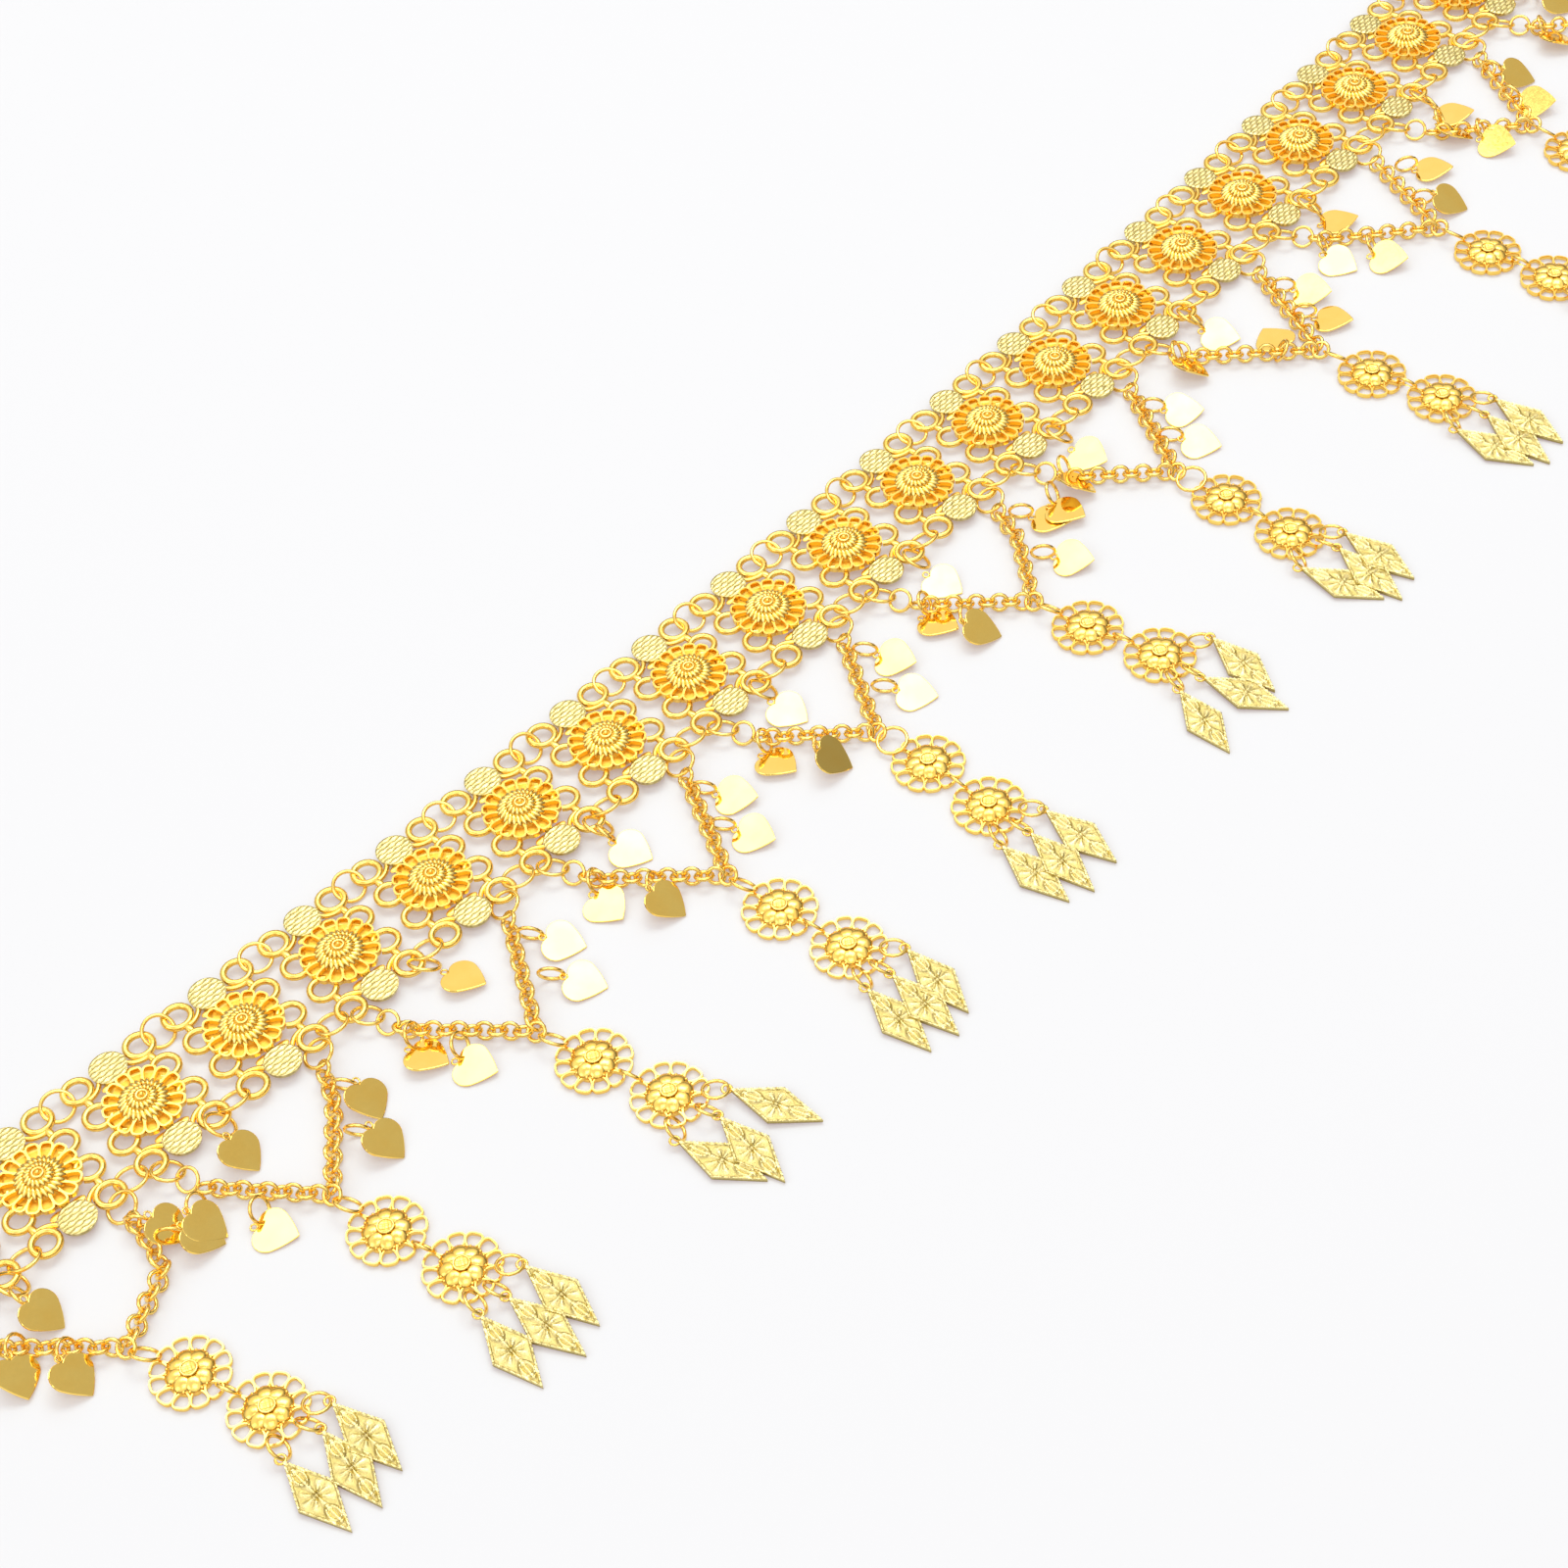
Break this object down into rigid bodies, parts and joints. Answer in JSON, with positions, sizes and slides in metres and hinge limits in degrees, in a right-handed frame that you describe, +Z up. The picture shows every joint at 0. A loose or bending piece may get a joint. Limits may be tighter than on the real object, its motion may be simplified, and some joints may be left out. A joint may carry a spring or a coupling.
{
  "type": "tassel waist chain",
  "caption": "Flat-laid metal waist chain: pierced rosette plaques joined by rings, with heart-hung chain swags and flower tassels ending in leaf-shaped drops.",
  "frame": {"origin": "middle of the part's footprint, on the surface that it lies on", "axes": "+X along the belt from its hook end to its ring end, +Y away from the tassels, +Z up"},
  "size_m": [0.7205, 0.1288, 0.0052],
  "materials": {
    "plaque_gold": "polished gold plate with an antiqued, darker ground between the petals",
    "charm_gold": "mirror-polished gold plate",
    "swag_gold": "polished gold plate",
    "tassel_gold": "polished gold plate with fine stamped relief",
    "end_gold": "polished gold plate"
  },
  "bodies": {
    "root": {"plaque_01": "plaque_gold", "plaque_02": "plaque_gold", "plaque_03": "plaque_gold", "plaque_04": "plaque_gold", "plaque_05": "plaque_gold", "plaque_06": "plaque_gold", "plaque_07": "plaque_gold", "plaque_08": "plaque_gold", "plaque_09": "plaque_gold", "plaque_10": "plaque_gold", "plaque_11": "plaque_gold", "plaque_12": "plaque_gold", "plaque_13": "plaque_gold", "plaque_14": "plaque_gold", "plaque_15": "plaque_gold", "plaque_16": "plaque_gold", "plaque_17": "plaque_gold", "plaque_18": "plaque_gold", "plaque_19": "plaque_gold", "plaque_20": "plaque_gold", "plaque_21": "plaque_gold", "plaque_22": "plaque_gold", "charm_01": "charm_gold", "charm_02": "charm_gold", "charm_03": "charm_gold", "charm_04": "charm_gold", "charm_05": "charm_gold", "charm_06": "charm_gold", "charm_07": "charm_gold", "charm_08": "charm_gold", "charm_09": "charm_gold", "charm_10": "charm_gold", "charm_11": "charm_gold", "swag_01": "swag_gold", "swag_02": "swag_gold", "swag_03": "swag_gold", "swag_04": "swag_gold", "swag_05": "swag_gold", "swag_06": "swag_gold", "swag_07": "swag_gold", "swag_08": "swag_gold", "swag_09": "swag_gold", "swag_10": "swag_gold", "swag_11": "swag_gold", "tassel_01": "tassel_gold", "tassel_02": "tassel_gold", "tassel_03": "tassel_gold", "tassel_04": "tassel_gold", "tassel_05": "tassel_gold", "tassel_06": "tassel_gold", "tassel_07": "tassel_gold", "tassel_08": "tassel_gold", "tassel_09": "tassel_gold", "tassel_10": "tassel_gold", "tassel_11": "tassel_gold", "hook_end": "end_gold", "ring_end": "end_gold"}
  },
  "joints": []
}
